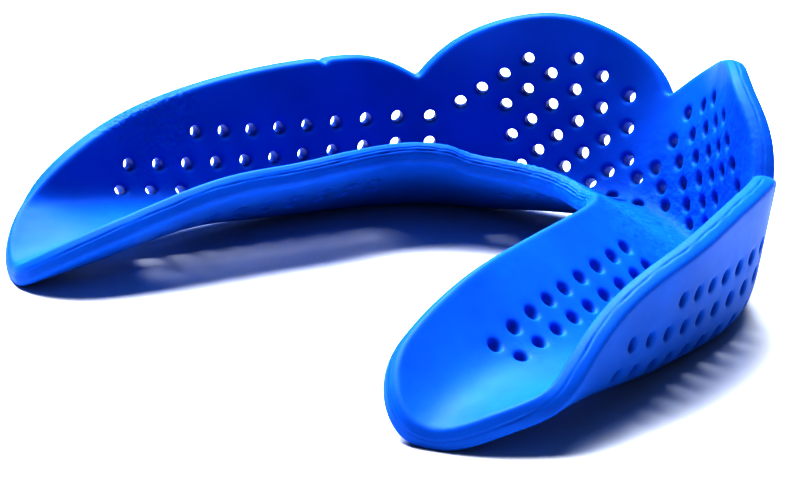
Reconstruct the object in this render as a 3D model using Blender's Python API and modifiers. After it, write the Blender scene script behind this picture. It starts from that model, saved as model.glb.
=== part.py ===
"""Perforated mouth tray: one thin moulded plastic sheet bent round a dental arch.

Frame: +Z up, +Y towards the lips, X across the arch, whose open end faces -Y.
Two lengths measured on the sheet place everything on it: "arc" runs along the arch from the
midline to a heel, and "rise" runs across it, zero in the outer fold where the trough turns up,
positive up the outer flange and negative over the trough to the inner lip.
"""

import math

import bmesh
import bpy
import numpy as np
from mathutils import Matrix, Vector

MM = 0.001

# Sheet
SHEET_THICKNESS = 2.0 * MM
ARM_LENGTH = 64.5 * MM

# Cross-sections: what the sheet does at each station along the arch
STATIONS = np.array([0, 7, 14, 21, 30, 42, 54, 66]) * MM
HEADING = np.radians([0, 20, 32, 53, 74, 76, 76, 62])
FLANGE_SLOPE = np.radians([64, 80, 89, 85, 83, 79, 83, 84])
TROUGH_SLOPE = np.radians([-20, -23, -28, -33, -33, -20, 3, 30])
LIP_SLOPE = np.radians([-27, -29, -32, -34, -37, -35, -40, -36])
TROUGH_WIDTH = np.array([4.6, 4.4, 4.1, 3.8, 3.6, 4.7, 7.5, 10.0]) * MM
FOLD_HEIGHT = np.array([2.4, 1.9, 1.2, 1.1, 1.0, 1.7, 3.3, 4.7]) * MM
LIP_REACH = np.array([14.0, 14.4, 14.8, 15.0, 14.8, 14.9, 14.9, 15.0]) * MM
OUTER_FOLD_SOFTNESS = 1.6 * MM
INNER_FOLD_SOFTNESS = 2.4 * MM

# Outline of the flat sheet: a lip lobe and a cheek wing on each side, both parts of ellipses
LOBE_ARC = 10.5 * MM
LOBE_HALF_LENGTH = 12.6 * MM
LOBE_TOP = 17.1 * MM
LOBE_FALL = 14.5 * MM
WING_ARC = 27.4 * MM
WING_FRONT_LENGTH = 14.3 * MM
WING_TOP = 12.9 * MM
WING_FALL = 22.2 * MM
HEEL_CORNER_LENGTH = 5.5 * MM
HEEL_CORNER_RISE = 4.5 * MM

# Holes in rows along the arch: three rows on a cheek wing, two on the trough beside it and one
# round the front of the inner lip. In millimetres: arc of the hole nearest the heel, rise of that
# hole, rise of the hole nearest the lips, number of holes, pitch
HOLE_DIAMETER = 1.2 * MM
HOLE_SIDES = 6
CUTTER_DEPTH = 2.0 * SHEET_THICKNESS
HOLE_ROWS = [
    (43.4, 6.7, 7.1, 9, 2.95),
    (50.7, 3.6, 4.6, 11, 3.1),
    (51.8, 1.0, 1.7, 13, 3.2),
    (52.8, -6.7, -7.5, 9, 2.9),
    (53.6, -9.1, -9.9, 9, 2.9),
    (10.4, -8.6, -10.4, 3, 3.9),
]

# Holes of a lip lobe, in staggered columns: first and last row of each column, every second row
LOBE_COLUMNS = [(2, 6), (1, 9), (0, 8), (1, 7), (0, 8), (1, 7), (2, 2), (3, 3)]
LOBE_COLUMN_STEP = 2.05 * MM
LOBE_ROW_STEP = 1.45 * MM
LOBE_FIRST_COLUMN = 3.25 * MM
LOBE_TOP_ROW = 13.0 * MM
LOBE_COLUMN_BEND = 22.0
MIDLINE_RISES = (2.85 * MM, -1.2 * MM)

# Depth planed off the lowest folds, which gives the flats that the tray rests on
REST_CUT = 0.3 * MM

# Mesh
COLUMNS_AT_LIPS = 11
COLUMNS_AT_CHEEK = 22
EVEN_SHARE_AT_HEEL = 0.3
ROWS = 13

BLUE = (0.006, 0.10, 0.72, 1.0)


def along(values, arc):
    """Smooth curve through the values at the stations, level at the midline."""
    step = np.diff(STATIONS)
    slope = np.diff(values) / step
    tangent = np.empty_like(values, dtype=float)
    tangent[0] = 0.0
    tangent[1:-1] = (slope[:-1] * step[1:] + slope[1:] * step[:-1]) / (step[1:] + step[:-1])
    tangent[-1] = slope[-1]
    i = int(np.clip(np.searchsorted(STATIONS, arc, side="right") - 1, 0, len(step) - 1))
    t = (arc - STATIONS[i]) / step[i]
    level = values[i] * (2 * t**3 - 3 * t**2 + 1) + values[i + 1] * (3 * t**2 - 2 * t**3)
    bend = tangent[i] * (t**3 - 2 * t**2 + t) + tangent[i + 1] * (t**3 - t**2)
    return level + bend * step[i]


def plan_line(samples=260):
    """Plan of the outer fold: arc lengths, x, y and heading, found by following the heading."""
    arcs = np.linspace(0.0, STATIONS[-1], samples)
    heading = np.array([along(HEADING, arc) for arc in arcs])
    step = arcs[1] - arcs[0]
    across = (np.cos(heading[1:]) + np.cos(heading[:-1])) / 2 * step
    back = (np.sin(heading[1:]) + np.sin(heading[:-1])) / 2 * step
    x = np.concatenate([[0.0], np.cumsum(across)])
    y = -np.concatenate([[0.0], np.cumsum(back)])
    return arcs, x, y, heading


PLAN_ARCS, PLAN_X, PLAN_Y, PLAN_HEADING = plan_line()


def section_slope(arc, rise):
    """Slope of the cross-section, 0 level and 90 degrees upright, at one place on the sheet."""
    lip = along(LIP_SLOPE, arc)
    trough = along(TROUGH_SLOPE, arc)
    flange = along(FLANGE_SLOPE, arc)
    width = along(TROUGH_WIDTH, arc)
    past_inner = 0.5 * (1 + math.tanh((rise + width) / INNER_FOLD_SOFTNESS))
    past_outer = 0.5 * (1 + math.tanh(rise / OUTER_FOLD_SOFTNESS))
    return lip + (trough - lip) * past_inner + (flange - trough) * past_outer


def sheet_point(arc, rise):
    """Middle of the sheet at (arc, rise) on the +X side, and its normal out of the trough."""
    steps = 12
    outward = 0.0
    height = along(FOLD_HEIGHT, arc)
    for k in range(steps):
        slope = section_slope(arc, rise * (k + 0.5) / steps)
        outward += math.cos(slope) * rise / steps
        height += math.sin(slope) * rise / steps
    heading = np.interp(arc, PLAN_ARCS, PLAN_HEADING)
    out = Vector((math.sin(heading), math.cos(heading), 0.0))
    foot = Vector((np.interp(arc, PLAN_ARCS, PLAN_X), np.interp(arc, PLAN_ARCS, PLAN_Y), 0.0))
    slope = section_slope(arc, rise)
    normal = Vector((0, 0, math.cos(slope))) - out * math.sin(slope)
    return foot + out * outward + Vector((0, 0, height)), normal


def ellipse_drop(distance, half_length):
    """How far an ellipse arc of unit height has fallen at a distance from its top."""
    return 1 - math.sqrt(max(0.0, 1 - (distance / half_length) ** 2))


def rim_rise(arc):
    """Height of the outer rim: the lip lobe and the cheek wing, whichever stands higher."""
    if arc > WING_ARC:
        return WING_TOP - WING_FALL * ellipse_drop(arc - WING_ARC, ARM_LENGTH - WING_ARC)
    wing = WING_TOP - WING_FALL * ellipse_drop(WING_ARC - arc, WING_FRONT_LENGTH)
    lobe = LOBE_TOP - LOBE_FALL * ellipse_drop(arc - LOBE_ARC, LOBE_HALF_LENGTH)
    return max(wing, lobe)


def lip_rise(arc):
    """Edge of the inner lip, with its rounded corner at the heel."""
    corner_start = ARM_LENGTH - HEEL_CORNER_LENGTH
    corner = ellipse_drop(max(0.0, arc - corner_start), HEEL_CORNER_LENGTH)
    return -along(LIP_REACH, arc) + HEEL_CORNER_RISE * corner


def canine_notch():
    """Arc length of the notch, where the outlines of lobe and wing cross."""
    low = LOBE_ARC
    high = WING_ARC
    for _ in range(40):
        middle = (low + high) / 2
        wing = WING_TOP - WING_FALL * ellipse_drop(WING_ARC - middle, WING_FRONT_LENGTH)
        if rim_rise(middle) > wing:
            low = middle
        else:
            high = middle
    return low


def column_arcs():
    """Arc lengths of the mesh columns of one side, closer together at the round heel."""
    notch = canine_notch()
    lips = [notch * k / COLUMNS_AT_LIPS for k in range(COLUMNS_AT_LIPS)]
    cheek = []
    for k in range(COLUMNS_AT_CHEEK + 1):
        share = k / COLUMNS_AT_CHEEK
        closing = math.sin(share * math.pi / 2)
        eased = closing + EVEN_SHARE_AT_HEEL * (share - closing)
        cheek.append(notch + (ARM_LENGTH - notch) * eased)
    return lips + cheek


def hole_places():
    """(arc, rise) of every hole of the +X side."""
    places = []
    for start, rise_at_heel, rise_at_front, count, pitch in HOLE_ROWS:
        for k in range(count):
            rise = rise_at_heel + (rise_at_front - rise_at_heel) * k / (count - 1)
            places.append(((start - k * pitch) * MM, rise * MM))
    for column, (first, last) in enumerate(LOBE_COLUMNS):
        for row in range(first, last + 1, 2):
            rise = LOBE_TOP_ROW - row * LOBE_ROW_STEP
            bend = LOBE_COLUMN_BEND * (LOBE_TOP_ROW - rise) ** 2
            places.append((LOBE_FIRST_COLUMN + column * LOBE_COLUMN_STEP - bend, rise))
    return places


def mirrored(point, side):
    return Vector((point.x * side, point.y, point.z))


def build_sheet():
    """Middle surface of the tray as a grid of quads, from one heel to the other."""
    arcs = column_arcs()
    columns = [(-1, arc) for arc in reversed(arcs[1:])] + [(1, arc) for arc in arcs]
    bm = bmesh.new()
    grid = []
    for side, arc in columns:
        low = lip_rise(arc)
        high = rim_rise(arc)
        column = []
        for row in range(ROWS):
            point, _ = sheet_point(arc, low + (high - low) * row / (ROWS - 1))
            column.append(bm.verts.new(mirrored(point, side)))
        grid.append(column)
    for left, right in zip(grid, grid[1:]):
        for row in range(ROWS - 1):
            bm.faces.new((left[row], right[row], right[row + 1], left[row + 1]))
    bmesh.ops.recalc_face_normals(bm, faces=bm.faces)
    mesh = bpy.data.meshes.new("tray_shell")
    bm.to_mesh(mesh)
    bm.free()
    return mesh


def build_hole_cutters():
    """One prism through the sheet for every hole."""
    places = [(side, arc, rise) for arc, rise in hole_places() for side in (-1, 1)]
    places += [(1, 0.0, rise) for rise in MIDLINE_RISES]
    bm = bmesh.new()
    for side, arc, rise in places:
        point, normal = sheet_point(arc, rise)
        turn = mirrored(normal, side).to_track_quat("Z", "Y").to_matrix().to_4x4()
        bmesh.ops.create_cone(
            bm,
            cap_ends=True,
            segments=HOLE_SIDES,
            radius1=HOLE_DIAMETER / 2,
            radius2=HOLE_DIAMETER / 2,
            depth=CUTTER_DEPTH,
            matrix=Matrix.Translation(mirrored(point, side)) @ turn,
        )
    mesh = bpy.data.meshes.new("hole_cutters")
    bm.to_mesh(mesh)
    bm.free()
    return mesh


def build_rest_cutter(low_corner, high_corner):
    """Block that planes the lowest folds flat, so that the tray stands on them."""
    bm = bmesh.new()
    bmesh.ops.create_cube(bm, size=1.0)
    size = (high_corner - low_corner) * 1.2
    size.z = 2 * SHEET_THICKNESS
    middle = (low_corner + high_corner) / 2
    middle.z = low_corner.z + REST_CUT - size.z / 2
    bmesh.ops.transform(bm, matrix=Matrix.LocRotScale(middle, None, size), verts=bm.verts)
    mesh = bpy.data.meshes.new("rest_cutter")
    bm.to_mesh(mesh)
    bm.free()
    return mesh


def tray_plastic():
    """Royal blue satin plastic."""
    material = bpy.data.materials.new("blue_plastic")
    material.use_nodes = True
    shader = material.node_tree.nodes["Principled BSDF"]
    shader.inputs["Base Color"].default_value = BLUE
    shader.inputs["Roughness"].default_value = 0.42
    shader.inputs["Metallic"].default_value = 0.0
    return material


def add_object(mesh, collection):
    thing = bpy.data.objects.new(mesh.name, mesh)
    collection.objects.link(thing)
    return thing


def cut(thing, cutter):
    modifier = thing.modifiers.new(cutter.name, "BOOLEAN")
    modifier.operation = "DIFFERENCE"
    modifier.solver = "EXACT"
    modifier.object = cutter
    cutter.hide_render = True
    cutter.display_type = "WIRE"


def corners(thing):
    """Lowest and highest corner of the box round a finished object, in its own axes."""
    finished = thing.evaluated_get(bpy.context.evaluated_depsgraph_get())
    points = np.array([vertex.co for vertex in finished.data.vertices])
    return Vector(points.min(axis=0)), Vector(points.max(axis=0))


def main():
    for thing in list(bpy.data.objects):
        bpy.data.objects.remove(thing)
    tray_parts = bpy.data.collections.new("mouth_tray")
    cutters = bpy.data.collections.new("cutters")
    bpy.context.scene.collection.children.link(tray_parts)
    bpy.context.scene.collection.children.link(cutters)

    shell = add_object(build_sheet(), tray_parts)
    thickness = shell.modifiers.new("thickness", "SOLIDIFY")
    thickness.thickness = SHEET_THICKNESS
    thickness.offset = 0.0
    thickness.use_even_offset = True
    shell.data.materials.append(tray_plastic())

    hole_cutters = add_object(build_hole_cutters(), cutters)
    rest_cutter = add_object(build_rest_cutter(*corners(shell)), cutters)
    cut(shell, hole_cutters)
    cut(shell, rest_cutter)

    low, high = corners(shell)
    for thing in (shell, hole_cutters, rest_cutter):
        thing.location = (-(low.x + high.x) / 2, -(low.y + high.y) / 2, -low.z)


main()
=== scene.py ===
"""Looks of the mouth tray: one sheet of satin blue plastic, with round holes and soft moulded edges.

A place on the sheet is (arc, rise): arc runs along the arch from the midline, positive on the +X
side, and rise runs across it, zero in the outer fold, up the outer flange and down to the lip.
"""

import math

import bpy
import numpy as np
from mathutils import Matrix, Vector, noise
from mathutils.geometry import delaunay_2d_cdt


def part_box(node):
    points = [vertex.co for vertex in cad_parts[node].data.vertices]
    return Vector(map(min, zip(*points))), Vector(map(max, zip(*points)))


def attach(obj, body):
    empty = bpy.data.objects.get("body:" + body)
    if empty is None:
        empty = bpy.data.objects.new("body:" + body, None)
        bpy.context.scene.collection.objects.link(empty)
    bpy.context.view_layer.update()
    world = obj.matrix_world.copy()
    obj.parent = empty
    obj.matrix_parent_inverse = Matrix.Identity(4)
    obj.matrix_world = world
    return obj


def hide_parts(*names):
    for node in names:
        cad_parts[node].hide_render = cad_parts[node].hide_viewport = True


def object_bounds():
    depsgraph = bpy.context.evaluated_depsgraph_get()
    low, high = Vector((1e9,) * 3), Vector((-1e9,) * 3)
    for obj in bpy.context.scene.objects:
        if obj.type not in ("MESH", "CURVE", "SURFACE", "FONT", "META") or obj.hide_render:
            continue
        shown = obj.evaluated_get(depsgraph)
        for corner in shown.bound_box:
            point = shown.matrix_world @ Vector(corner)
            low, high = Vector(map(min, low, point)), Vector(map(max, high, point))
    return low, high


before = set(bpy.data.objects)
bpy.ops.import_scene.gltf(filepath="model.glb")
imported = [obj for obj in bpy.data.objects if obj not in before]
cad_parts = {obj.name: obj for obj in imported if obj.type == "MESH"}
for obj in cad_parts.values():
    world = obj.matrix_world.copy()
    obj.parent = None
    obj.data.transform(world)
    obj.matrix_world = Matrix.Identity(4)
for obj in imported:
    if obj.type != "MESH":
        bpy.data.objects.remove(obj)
CAD_LOW, CAD_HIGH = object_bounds()

MM = 0.001
NODE = "tray_shell"

# The sheet, as in the part: sections at stations along the arch
SHEET_THICKNESS = 2.0 * MM
ARM_LENGTH = 64.5 * MM
STATIONS = np.array([0, 7, 14, 21, 30, 42, 54, 66]) * MM
HEADING = np.radians([0, 20, 32, 53, 74, 76, 76, 62])
FLANGE_SLOPE = np.radians([64, 80, 89, 85, 83, 79, 83, 84])
TROUGH_SLOPE = np.radians([-20, -23, -28, -33, -33, -20, 3, 30])
LIP_SLOPE = np.radians([-27, -29, -32, -34, -37, -35, -40, -36])
TROUGH_WIDTH = np.array([4.6, 4.4, 4.1, 3.8, 3.6, 4.7, 7.5, 10.0]) * MM
FOLD_HEIGHT = np.array([2.4, 1.9, 1.2, 1.1, 1.0, 1.7, 3.3, 4.7]) * MM
LIP_REACH = np.array([14.0, 14.4, 14.8, 15.0, 14.8, 14.9, 14.9, 15.0]) * MM
OUTER_FOLD_SOFTNESS = 1.6 * MM
INNER_FOLD_SOFTNESS = 2.4 * MM

# Outline of the flat sheet
LOBE_ARC = 10.5 * MM
LOBE_HALF_LENGTH = 12.6 * MM
LOBE_TOP = 17.1 * MM
LOBE_FALL = 14.5 * MM
WING_ARC = 27.4 * MM
WING_FRONT_LENGTH = 14.3 * MM
WING_TOP = 12.9 * MM
WING_FALL = 22.2 * MM
HEEL_CORNER_LENGTH = 5.5 * MM
HEEL_CORNER_RISE = 4.5 * MM
NOTCH_ROUND = 0.35 * MM

# Marks on the -X side only: a nick in the rim and a swelling of the lip
NICK_ARC = -29.8 * MM
NICK_LENGTH = 0.4 * MM
NICK_DEPTH = 0.35 * MM
SWELL_ARC = -37.0 * MM
SWELL_LENGTH = 3.2 * MM
SWELL_HEIGHT = 0.35 * MM

# Holes, placed as in the part. A row is: arc of the hole nearest the heel, rise of that hole, rise
# of the hole nearest the lips, number of holes, pitch, in millimetres. A lobe column is: first and
# last row, with a hole in every second row.
HOLE_RADIUS = 0.56 * MM
HOLE_ROWS = [
    (43.4, 6.7, 7.1, 9, 2.95),
    (50.7, 3.6, 4.6, 11, 3.1),
    (51.8, 1.0, 1.7, 13, 3.2),
    (52.8, -6.7, -7.5, 9, 2.9),
    (53.6, -9.1, -9.9, 9, 2.9),
    (10.4, -8.6, -10.4, 3, 3.9),
]
LOBE_COLUMNS = [(2, 6), (1, 9), (0, 8), (1, 7), (0, 8), (1, 7), (2, 2), (3, 3)]
LOBE_COLUMN_STEP = 2.05 * MM
LOBE_ROW_STEP = 1.45 * MM
LOBE_FIRST_COLUMN = 3.25 * MM
LOBE_TOP_ROW = 13.0 * MM
LOBE_COLUMN_BEND = 22.0
MIDLINE_RISES = (2.85 * MM, -1.2 * MM)

# Mesh: spacing on the flat sheet, rings of points beside the holes and the edge, rows down the walls
OUTLINE_STEP = 0.33 * MM
OUTLINE_SAMPLES = 1601
GRID_STEP = 0.6 * MM
GRID_LOW = -16 * MM
GRID_HIGH = 18 * MM
FORMING_STEPS = 20
HOLE_CORNERS = 20
HOLE_RINGS = [0.0, 0.05 * MM, 0.13 * MM, 0.26 * MM, 0.45 * MM]
EDGE_RINGS = [0.0, 0.05 * MM, 0.14 * MM, 0.28 * MM, 0.48 * MM, 0.75 * MM, 1.1 * MM]
RING_SHARE_KEPT = 0.97
HOLE_WALL_LEVELS = 5
EDGE_WALL_LEVELS = 15
SMALL_STEP = 0.05 * MM
FAR_AWAY = 1.0
INSIDE_ONLY = 1
SAME_PLACE = 1e-5

# Rounding of edges: at the holes, at the outer rim, and at the palate side of the inner lip
HOLE_ROUND = 0.42 * MM
RIM_ROUND = 0.42 * MM
LIP_UNDER_ROUND = 0.7 * MM

# Where looks change across the sheet: from trough to lip, and from trough to flange
LIP_FADE = (-10 * MM, -5 * MM)
FLANGE_FADE = (-1 * MM, 3 * MM)

# Relief of the cut edge: a groove along its middle, a crown, and waves that stop before the heel
GROOVE_DEPTH = 0.1 * MM
GROOVE_WIDTH = 0.1
CROWN_HEIGHT = 0.1 * MM
EDGE_WAVE_HEIGHT = 0.04 * MM
EDGE_WAVES = 3.2
WAVES_FADE = (36 * MM, 50 * MM)

# Uneven swellings of the trough face, strongest round the front
BUMP_HEIGHT = 0.02 * MM
BUMP_HEIGHT_FRONT = 0.1 * MM
BUMPS_PER_MM = 0.95
BUMPY_FRONT_LENGTH = 17 * MM

# Rough patches of the moulding: middle, reach, scale of the roughness and its depth
ROUGH_PATCHES = [
    (Vector((9.0, 17.0, 5.0)) * MM, 15.0 * MM, 1000.0, 0.25 * MM),
    (Vector((-28.8, -10.5, 10.0)) * MM, 6.5 * MM, 1700.0, 0.32 * MM),
]


def along(values, arc):
    """Smooth curve through the values at the stations, level at the midline."""
    step = np.diff(STATIONS)
    slope = np.diff(values) / step
    tangent = np.empty_like(values, dtype=float)
    tangent[0] = 0.0
    tangent[1:-1] = (slope[:-1] * step[1:] + slope[1:] * step[:-1]) / (step[1:] + step[:-1])
    tangent[-1] = slope[-1]
    i = np.clip(np.searchsorted(STATIONS, arc, side="right") - 1, 0, len(step) - 1)
    t = (arc - STATIONS[i]) / step[i]
    level = values[i] * (2 * t**3 - 3 * t**2 + 1) + values[i + 1] * (3 * t**2 - 2 * t**3)
    bend = tangent[i] * (t**3 - 2 * t**2 + t) + tangent[i + 1] * (t**3 - t**2)
    return level + bend * step[i]


def plan_line(samples=521):
    """Plan of the outer fold: arc lengths, x, y and heading."""
    arcs = np.linspace(0.0, STATIONS[-1], samples)
    heading = along(HEADING, arcs)
    step = arcs[1] - arcs[0]
    across = (np.cos(heading[1:]) + np.cos(heading[:-1])) / 2 * step
    back = (np.sin(heading[1:]) + np.sin(heading[:-1])) / 2 * step
    return arcs, np.append(0.0, np.cumsum(across)), -np.append(0.0, np.cumsum(back)), heading


PLAN_ARCS, PLAN_X, PLAN_Y, PLAN_HEADING = plan_line()


def section_slope(arc, rise):
    """Slope of the cross-section, zero where level, at places on the sheet."""
    lip = along(LIP_SLOPE, arc)
    trough = along(TROUGH_SLOPE, arc)
    flange = along(FLANGE_SLOPE, arc)
    past_inner = 0.5 * (1 + np.tanh((rise + along(TROUGH_WIDTH, arc)) / INNER_FOLD_SOFTNESS))
    past_outer = 0.5 * (1 + np.tanh(rise / OUTER_FOLD_SOFTNESS))
    return lip + (trough - lip) * past_inner + (flange - trough) * past_outer


def sheet_points(arc, rise):
    """Middle of the sheet and its normal out of the trough, for arrays of places."""
    side = np.where(arc < 0, -1.0, 1.0)
    arc = np.abs(arc)
    outward = np.zeros_like(arc)
    height = along(FOLD_HEIGHT, arc)
    for k in range(FORMING_STEPS):
        slope = section_slope(arc, rise * (k + 0.5) / FORMING_STEPS)
        outward = outward + np.cos(slope) * rise / FORMING_STEPS
        height = height + np.sin(slope) * rise / FORMING_STEPS
    heading = np.interp(arc, PLAN_ARCS, PLAN_HEADING)
    out_x = np.sin(heading)
    out_y = np.cos(heading)
    slope = section_slope(arc, rise)
    points = np.stack(
        [
            side * (np.interp(arc, PLAN_ARCS, PLAN_X) + out_x * outward),
            np.interp(arc, PLAN_ARCS, PLAN_Y) + out_y * outward,
            height,
        ],
        axis=1,
    )
    normals = np.stack(
        [-side * out_x * np.sin(slope), -out_y * np.sin(slope), np.cos(slope)], axis=1
    )
    return points, normals


def ellipse_drop(distance, half_length):
    """How far an ellipse arc of unit height has fallen at a distance from its top."""
    return 1 - np.sqrt(np.maximum(0.0, 1 - (distance / half_length) ** 2))


def soft_max(a, b, softness):
    """The larger of two values, with a round where they cross."""
    return (a + b + np.sqrt((a - b) ** 2 + softness**2)) / 2


def rim_rise(arc):
    """Height of the outer rim, with small rounds in the notches and one nick."""
    nick = NICK_DEPTH * np.exp(-(((arc - NICK_ARC) / NICK_LENGTH) ** 2))
    arc = np.sqrt(arc**2 + NOTCH_ROUND**2)
    front = WING_TOP - WING_FALL * ellipse_drop(WING_ARC - arc, WING_FRONT_LENGTH)
    back = WING_TOP - WING_FALL * ellipse_drop(arc - WING_ARC, ARM_LENGTH - WING_ARC)
    lobe = LOBE_TOP - LOBE_FALL * ellipse_drop(arc - LOBE_ARC, LOBE_HALF_LENGTH)
    joined = soft_max(front, lobe, 1.5 * NOTCH_ROUND)
    return np.where(arc > WING_ARC, back, joined) - nick


def lip_rise(arc):
    """Edge of the inner lip, a little uneven as moulded."""
    swell = SWELL_HEIGHT * np.exp(-(((arc - SWELL_ARC) / SWELL_LENGTH) ** 2))
    arc = np.abs(arc)
    corner_start = ARM_LENGTH - HEEL_CORNER_LENGTH
    corner = ellipse_drop(np.maximum(0.0, arc - corner_start), HEEL_CORNER_LENGTH)
    return -along(LIP_REACH, arc) + HEEL_CORNER_RISE * corner - swell


def even_spaced(loop, step):
    """Points at even spacing round a closed polyline."""
    line = np.vstack([loop, loop[:1]])
    length = np.append(0.0, np.cumsum(np.linalg.norm(np.diff(line, axis=0), axis=1)))
    count = max(2, int(round(length[-1] / step)) + 1)
    at = np.linspace(0.0, length[-1], count)
    spaced = np.stack([np.interp(at, length, line[:, k]) for k in range(2)], axis=1)
    return spaced[:-1]


def outline():
    """Closed outline of the flat sheet, as (arc, rise), going round with the sheet on its left."""
    turn = np.linspace(-math.pi / 2, math.pi / 2, OUTLINE_SAMPLES)
    arcs = ARM_LENGTH * np.sin(turn)
    low = np.stack([arcs, lip_rise(arcs)], axis=1)
    high = np.stack([arcs, rim_rise(arcs)], axis=1)[::-1]
    return even_spaced(np.vstack([low, high]), OUTLINE_STEP)


def hole_places():
    """(arc, rise) of every hole, both sides and the midline."""
    places = []
    for start, rise_at_heel, rise_at_front, count, pitch in HOLE_ROWS:
        for k in range(count):
            rise = rise_at_heel + (rise_at_front - rise_at_heel) * k / (count - 1)
            places.append(((start - k * pitch) * MM, rise * MM))
    for column, (first, last) in enumerate(LOBE_COLUMNS):
        for row in range(first, last + 1, 2):
            rise = LOBE_TOP_ROW - row * LOBE_ROW_STEP
            bend = LOBE_COLUMN_BEND * (LOBE_TOP_ROW - rise) ** 2
            places.append((LOBE_FIRST_COLUMN + column * LOBE_COLUMN_STEP - bend, rise))
    both = [(side * arc, rise) for arc, rise in places for side in (-1, 1)]
    return np.array(both + [(0.0, rise) for rise in MIDLINE_RISES])


def outward_normals(loop):
    """Unit normals of a closed loop that point away from the sheet on its left."""
    ahead = np.roll(loop, -1, axis=0) - np.roll(loop, 1, axis=0)
    ahead /= np.linalg.norm(ahead, axis=1)[:, None]
    return np.stack([ahead[:, 1], -ahead[:, 0]], axis=1)


def distance_to_points(places, targets, chunk=2000):
    """Distance from each place to the nearest target."""
    nearest = np.empty(len(places))
    for start in range(0, len(places), chunk):
        block = places[start : start + chunk]
        gaps = np.linalg.norm(block[:, None, :] - targets[None, :, :], axis=2)
        nearest[start : start + chunk] = gaps.min(axis=1)
    return nearest


def stretch_along_arc(places):
    """How much longer the sheet is than its arc length, at each place."""
    ahead, _ = sheet_points(places[:, 0] + SMALL_STEP, places[:, 1])
    behind, _ = sheet_points(places[:, 0] - SMALL_STEP, places[:, 1])
    return np.linalg.norm(ahead - behind, axis=1) / (2 * SMALL_STEP)


def edge_directions(places, points, normals):
    """Unit vectors that lie in the sheet and point out of it, at places round its outline."""
    beyond, _ = sheet_points(*(places + outward_normals(places) * SMALL_STEP).T)
    out = beyond - points
    out -= (out * normals).sum(axis=1)[:, None] * normals
    return out / np.linalg.norm(out, axis=1)[:, None]


def round_drop(distance, radius):
    """How far a rounded edge has fallen below the face, at a distance from the edge."""
    near = np.clip(1 - distance / radius, 0.0, 1.0)
    return radius * (1 - np.sqrt(1 - near**2))


def smooth_step(low, high, value):
    """Zero below low, one above high, with a smooth change between."""
    t = np.clip((value - low) / (high - low), 0.0, 1.0)
    return t * t * (3 - 2 * t)


def grid_places():
    """Even triangular grid over the flat sheet, inside its outline."""
    arcs = np.arange(-ARM_LENGTH, ARM_LENGTH, GRID_STEP)
    rises = np.arange(GRID_LOW, GRID_HIGH, GRID_STEP * math.sqrt(3) / 2)
    grid = np.array([(a + (k % 2) * GRID_STEP / 2, r) for k, r in enumerate(rises) for a in arcs])
    inside = (grid[:, 1] < rim_rise(grid[:, 0])) & (grid[:, 1] > lip_rise(grid[:, 0]))
    return grid[inside & (np.abs(grid[:, 0]) < ARM_LENGTH)]


def flat_layout():
    """Flat places of the mesh, their gaps to the edge and to the nearest hole, and the index loops
    of the outline and of every hole."""
    edge = outline()
    normals = outward_normals(edge)
    holes = hole_places()
    stretch = stretch_along_arc(holes)
    places = [edge]
    edge_gap = [np.zeros(len(edge))]
    hole_gap = [np.full(len(edge), FAR_AWAY)]
    edge_loop = np.arange(len(edge))
    start = len(edge)
    turn = np.arange(HOLE_CORNERS) * 2 * math.pi / HOLE_CORNERS
    hole_loops = []
    for (arc, rise), wide in zip(holes, stretch):
        for gap in HOLE_RINGS:
            radius = HOLE_RADIUS + gap
            ring = np.stack(
                [arc + radius * np.cos(turn) / wide, rise + radius * np.sin(turn)], axis=1
            )
            if gap == 0.0:
                hole_loops.append(np.arange(start, start + HOLE_CORNERS))
            places.append(ring)
            hole_gap.append(np.full(HOLE_CORNERS, gap))
            edge_gap.append(distance_to_points(ring, edge))
            start += HOLE_CORNERS
    for gap in EDGE_RINGS[1:]:
        ring = edge - normals * gap
        real = distance_to_points(ring, edge)
        keep = real > RING_SHARE_KEPT * gap
        places.append(ring[keep])
        edge_gap.append(real[keep])
        hole_gap.append(np.full(keep.sum(), FAR_AWAY))
    grid = grid_places()
    gap_to_edge = distance_to_points(grid, edge)
    gap_to_hole = np.full(len(grid), FAR_AWAY)
    for (arc, rise), wide in zip(holes, stretch):
        reach = np.hypot((grid[:, 0] - arc) * wide, grid[:, 1] - rise) - HOLE_RADIUS
        gap_to_hole = np.minimum(gap_to_hole, reach)
    clear_of_edge = gap_to_edge > EDGE_RINGS[-1] + GRID_STEP / 2
    clear_of_holes = gap_to_hole > HOLE_RINGS[-1] + GRID_STEP / 3
    keep = clear_of_edge & clear_of_holes
    places.append(grid[keep])
    edge_gap.append(gap_to_edge[keep])
    hole_gap.append(gap_to_hole[keep])
    return np.vstack(places), np.concatenate(edge_gap), np.concatenate(hole_gap), edge_loop, hole_loops


def flat_triangles(places, edge_loop, hole_loops):
    """Triangles of the flat layout: inside the outline and outside the holes."""
    lines = []
    for loop in [edge_loop] + hole_loops:
        lines += [(int(a), int(b)) for a, b in zip(loop, np.roll(loop, -1))]
    scaled = [Vector((float(a), float(r))) for a, r in places / MM]
    result = delaunay_2d_cdt(scaled, lines, [edge_loop.tolist()], INSIDE_ONLY, SAME_PLACE)
    _, _, faces, origin, _, _ = result
    source = [ids[0] if ids else -1 for ids in origin]
    hole_of = np.full(len(places), -1)
    for number, loop in enumerate(hole_loops):
        hole_of[loop] = number
    triangles = []
    for face in faces:
        corners = [source[i] for i in face]
        if min(corners) < 0 or len(set(corners)) < 3:
            continue
        owners = {hole_of[i] for i in corners}
        if len(owners) == 1 and -1 not in owners:
            continue
        triangles.append(corners)
    return np.array(triangles)


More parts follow.
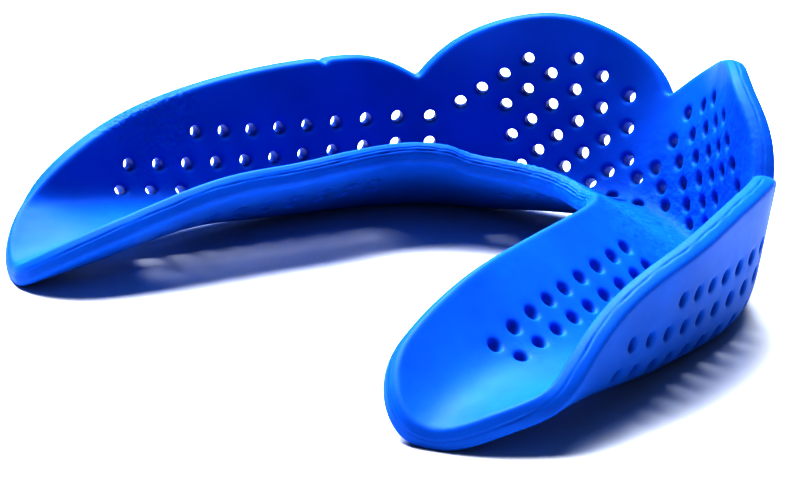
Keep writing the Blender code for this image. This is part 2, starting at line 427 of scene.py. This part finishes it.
def edge_relief(arc, across, on_lip):
    """How far the cut edge stands out: soft lengthwise lines, broken along the arch."""
    a = arc / MM
    wander = 0.035 * np.sin(0.9 * a) + 0.02 * np.sin(2.3 * a + 1.0)
    broken = 0.55 + 0.45 * np.sin(1.7 * a + 2.0) * np.sin(0.63 * a)
    groove = GROOVE_DEPTH * np.exp(-(((across - 0.5 - wander) / GROOVE_WIDTH) ** 2)) * broken
    waves = EDGE_WAVE_HEIGHT * np.sin(2 * math.pi * (EDGE_WAVES * across + 3 * wander))
    waves = waves * (0.6 + 0.4 * broken) * (1 - smooth_step(*WAVES_FADE, np.abs(arc)))
    crown = CROWN_HEIGHT * np.sin(math.pi * across)
    return crown - groove + waves * on_lip


def moulded_bumps(places):
    """Small uneven swellings of the trough face, strongest round the front of the trough."""
    near_front = np.exp(-((places[:, 0] / BUMPY_FRONT_LENGTH) ** 4))
    below_flange = 1 - smooth_step(*FLANGE_FADE, places[:, 1])
    height = BUMP_HEIGHT + BUMP_HEIGHT_FRONT * near_front * below_flange
    wave = [noise.noise((a, r, 3.0)) for a, r in places / MM * BUMPS_PER_MM]
    return height * np.array(wave)


def build_tray():
    """The whole tray: both faces of the sheet, its edge with its relief, and the walls of the holes."""
    places, edge_gap, hole_gap, edge_loop, hole_loops = flat_layout()
    triangles = flat_triangles(places, edge_loop, hole_loops)
    points, normals = sheet_points(places[:, 0], places[:, 1])
    on_lip = 1 - smooth_step(*LIP_FADE, places[:, 1])
    half = SHEET_THICKNESS / 2
    under_round = RIM_ROUND + (LIP_UNDER_ROUND - RIM_ROUND) * on_lip
    hole_drop = round_drop(hole_gap, HOLE_ROUND)
    upper = half + moulded_bumps(places) - np.maximum(round_drop(edge_gap, RIM_ROUND), hole_drop)
    lower = -half + np.maximum(round_drop(edge_gap, under_round), hole_drop)
    count = len(places)
    vertices = [points + normals * upper[:, None], points + normals * lower[:, None]]
    faces = [tuple(t) for t in triangles]
    faces += [(count + t[0], count + t[2], count + t[1]) for t in triangles]
    total = 2 * count

    def wall(loop, levels, relief=None):
        """Rows of vertices from the upper to the lower end of an edge, and the quads between."""
        nonlocal total
        rows = [loop]
        for level in range(1, levels):
            across = level / levels
            offset = upper[loop] + (lower[loop] - upper[loop]) * across
            ring = points[loop] + normals[loop] * offset[:, None]
            if relief:
                ring += relief(across)
            vertices.append(ring)
            rows.append(np.arange(total, total + len(loop)))
            total += len(loop)
        rows.append(loop + count)
        for top, bottom in zip(rows, rows[1:]):
            for k in range(len(loop)):
                following = (k + 1) % len(loop)
                faces.append((top[following], top[k], bottom[k], bottom[following]))

    out = edge_directions(places[edge_loop], points[edge_loop], normals[edge_loop])

    def relief_of_edge(across):
        return out * edge_relief(places[edge_loop, 0], across, on_lip[edge_loop])[:, None]

    wall(edge_loop, EDGE_WALL_LEVELS, relief_of_edge)
    for loop in hole_loops:
        wall(loop[::-1], HOLE_WALL_LEVELS)

    vertices = np.vstack(vertices)
    low, high = (np.array(corner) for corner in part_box(NODE))
    vertices += np.array([0.0, high[1] - vertices[:, 1].max(), high[2] - vertices[:, 2].max()])
    vertices[:, 1:] = np.maximum(vertices[:, 1:], low[1:])
    mesh = bpy.data.meshes.new("moulded_tray")
    mesh.from_pydata(vertices.tolist(), [], faces)
    mesh.validate()
    mesh.shade_smooth()
    tray = bpy.data.objects.new("moulded_tray", mesh)
    bpy.context.scene.collection.objects.link(tray)
    return tray


def node_tree(name):
    """New material, its node tree and its shader."""
    material = bpy.data.materials.new(name)
    material.use_nodes = True
    tree = material.node_tree
    return material, tree, tree.nodes["Principled BSDF"]


def add_noise(tree, scale, detail, source):
    """Noise texture in the axes of the object."""
    texture = tree.nodes.new("ShaderNodeTexNoise")
    texture.inputs["Scale"].default_value = scale
    texture.inputs["Detail"].default_value = detail
    tree.links.new(source.outputs["Object"], texture.inputs["Vector"])
    return texture


def near_place(tree, source, place, reach):
    """Output that is one round a place on the tray and fades to zero at a distance from it."""
    gap = tree.nodes.new("ShaderNodeVectorMath")
    gap.operation = "DISTANCE"
    gap.inputs[1].default_value = place
    tree.links.new(source.outputs["Object"], gap.inputs[0])
    fade = tree.nodes.new("ShaderNodeMapRange")
    fade.inputs["From Min"].default_value = 0.5 * reach
    fade.inputs["From Max"].default_value = reach
    fade.inputs["To Min"].default_value = 1.0
    fade.inputs["To Max"].default_value = 0.0
    tree.links.new(gap.outputs["Value"], fade.inputs["Value"])
    return fade.outputs["Result"]


def add_bump(tree, texture, distance, before=None, mask=None):
    """Bump node over an earlier one, with its strength set by a mask."""
    bump = tree.nodes.new("ShaderNodeBump")
    bump.inputs["Distance"].default_value = distance
    tree.links.new(texture.outputs["Fac"], bump.inputs["Height"])
    if before:
        tree.links.new(before.outputs["Normal"], bump.inputs["Normal"])
    if mask:
        tree.links.new(mask, bump.inputs["Strength"])
    return bump


def tray_plastic():
    """Satin moulded plastic: mottled royal blue, uneven gloss and a fine grain."""
    material, tree, shader = node_tree("satin_blue_plastic")
    coordinates = tree.nodes.new("ShaderNodeTexCoord")
    cloud = add_noise(tree, 140.0, 4.0, coordinates)
    ramp = tree.nodes.new("ShaderNodeValToRGB")
    ramp.color_ramp.elements[0].position = 0.3
    ramp.color_ramp.elements[0].color = (0.0006, 0.086, 0.42, 1)
    ramp.color_ramp.elements[1].position = 0.72
    ramp.color_ramp.elements[1].color = (0.0010, 0.112, 0.52, 1)
    tree.links.new(cloud.outputs["Fac"], ramp.inputs["Fac"])
    tree.links.new(ramp.outputs["Color"], shader.inputs["Base Color"])
    patch = add_noise(tree, 420.0, 3.0, coordinates)
    spread = tree.nodes.new("ShaderNodeMapRange")
    spread.inputs["To Min"].default_value = 0.42
    spread.inputs["To Max"].default_value = 0.56
    tree.links.new(patch.outputs["Fac"], spread.inputs["Value"])
    tree.links.new(spread.outputs["Result"], shader.inputs["Roughness"])
    bump = add_bump(tree, add_noise(tree, 2600.0, 2.0, coordinates), 0.006 * MM)
    for place, reach, scale, depth in ROUGH_PATCHES:
        mask = near_place(tree, coordinates, place, reach)
        bump = add_bump(tree, add_noise(tree, scale, 2.0, coordinates), depth, bump, mask)
    tree.links.new(bump.outputs["Normal"], shader.inputs["Normal"])
    shader.inputs["Subsurface Weight"].default_value = 0.25
    shader.inputs["Subsurface Radius"].default_value = (0.1, 0.5, 1.0)
    shader.inputs["Subsurface Scale"].default_value = 1.0 * MM
    shader.inputs["Specular IOR Level"].default_value = 0.06
    return material


FLOOR_REACH = 3.0


def floor_surface():
    """White board with a slight sheen."""
    material, tree, shader = node_tree("white_board")
    coordinates = tree.nodes.new("ShaderNodeTexCoord")
    cloud = add_noise(tree, 6.0, 2.0, coordinates)
    spread = tree.nodes.new("ShaderNodeMapRange")
    spread.inputs["To Min"].default_value = 0.16
    spread.inputs["To Max"].default_value = 0.24
    tree.links.new(cloud.outputs["Fac"], spread.inputs["Value"])
    tree.links.new(spread.outputs["Result"], shader.inputs["Roughness"])
    shader.inputs["Base Color"].default_value = (0.9, 0.91, 0.93, 1)
    shader.inputs["IOR"].default_value = 1.5
    return material


def add_floor():
    """Pale floor under the tray."""
    far = FLOOR_REACH
    mesh = bpy.data.meshes.new("floor")
    ends = [(-far, -far, 0), (far, -far, 0), (far, far, 0), (-far, far, 0)]
    mesh.from_pydata(ends, [], [(0, 1, 2, 3)])
    floor = bpy.data.objects.new("floor", mesh)
    floor.data.materials.append(floor_surface())
    bpy.context.scene.collection.objects.link(floor)
    floor.location.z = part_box(NODE)[0].z


# Camera: viewing angle round the tray, and where it looks, measured from the middle of the box
VIEW_AZIMUTH = math.radians(41.13)
VIEW_ELEVATION = math.radians(18.32)
VIEW_ROLL = math.radians(3.88)
VIEW_DISTANCE = 269.91 * MM
VIEW_AIM = Vector((2.37, -11.15, -1.15)) * MM
LENS = 149.1
SHIFT_X = -0.0005
SHIFT_Y = -0.01447


def view_axes():
    """Right, up and back of the camera, before its roll."""
    back = Vector(
        (
            math.sin(VIEW_AZIMUTH) * math.cos(VIEW_ELEVATION),
            -math.cos(VIEW_AZIMUTH) * math.cos(VIEW_ELEVATION),
            math.sin(VIEW_ELEVATION),
        )
    )
    right = Vector((math.cos(VIEW_AZIMUTH), math.sin(VIEW_AZIMUTH), 0.0))
    return right, back.cross(right), back


def add_camera():
    """Camera at its angle round the tray, turned by its roll."""
    right, up, back = view_axes()
    rolled_right = right * math.cos(VIEW_ROLL) + up * math.sin(VIEW_ROLL)
    rolled_up = up * math.cos(VIEW_ROLL) - right * math.sin(VIEW_ROLL)
    camera = bpy.data.objects.new("camera", bpy.data.cameras.new("camera"))
    bpy.context.scene.collection.objects.link(camera)
    camera.data.lens = LENS
    camera.data.sensor_width = 36.0
    camera.data.shift_x = SHIFT_X
    camera.data.shift_y = SHIFT_Y
    middle = (CAD_LOW + CAD_HIGH) / 2
    turned = Matrix((rolled_right, rolled_up, back)).transposed().to_4x4()
    camera.matrix_world = Matrix.Translation(middle + VIEW_AIM + back * VIEW_DISTANCE) @ turned
    bpy.context.scene.camera = camera


# Key lamp: how far it stands right of the tray, above it and behind it, as seen by the camera
LAMP_ACROSS = -0.14
LAMP_HEIGHT = 0.5
LAMP_BEHIND = 0.24
LAMP_SIZE = 0.6
LAMP_POWER = 26.0


def add_lamp():
    """One large, soft square lamp, aimed at the tray."""
    right, _, back = view_axes()
    level_back = Vector((back.x, back.y, 0)).normalized()
    place = right * LAMP_ACROSS + Vector((0, 0, LAMP_HEIGHT)) - level_back * LAMP_BEHIND
    lamp = bpy.data.objects.new("key_lamp", bpy.data.lights.new("key_lamp", "AREA"))
    lamp.data.size = LAMP_SIZE
    lamp.data.energy = LAMP_POWER
    lamp.location = place
    lamp.rotation_mode = "QUATERNION"
    lamp.rotation_quaternion = place.to_track_quat("Z", "Y")
    bpy.context.scene.collection.objects.link(lamp)


def add_sky():
    """Weak blue light from all round."""
    world = bpy.data.worlds.new("studio")
    bpy.context.scene.world = world
    world.use_nodes = True
    sky = world.node_tree.nodes["Background"]
    sky.inputs["Color"].default_value = (0.42, 0.66, 1.0, 1)
    sky.inputs["Strength"].default_value = 0.16


tray = build_tray()
tray.data.materials.append(tray_plastic())
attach(tray, "root")
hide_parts(NODE)
add_floor()
add_camera()
add_lamp()
add_sky()
bpy.context.scene.view_settings.view_transform = "Standard"
bpy.context.scene.view_settings.gamma = 0.68
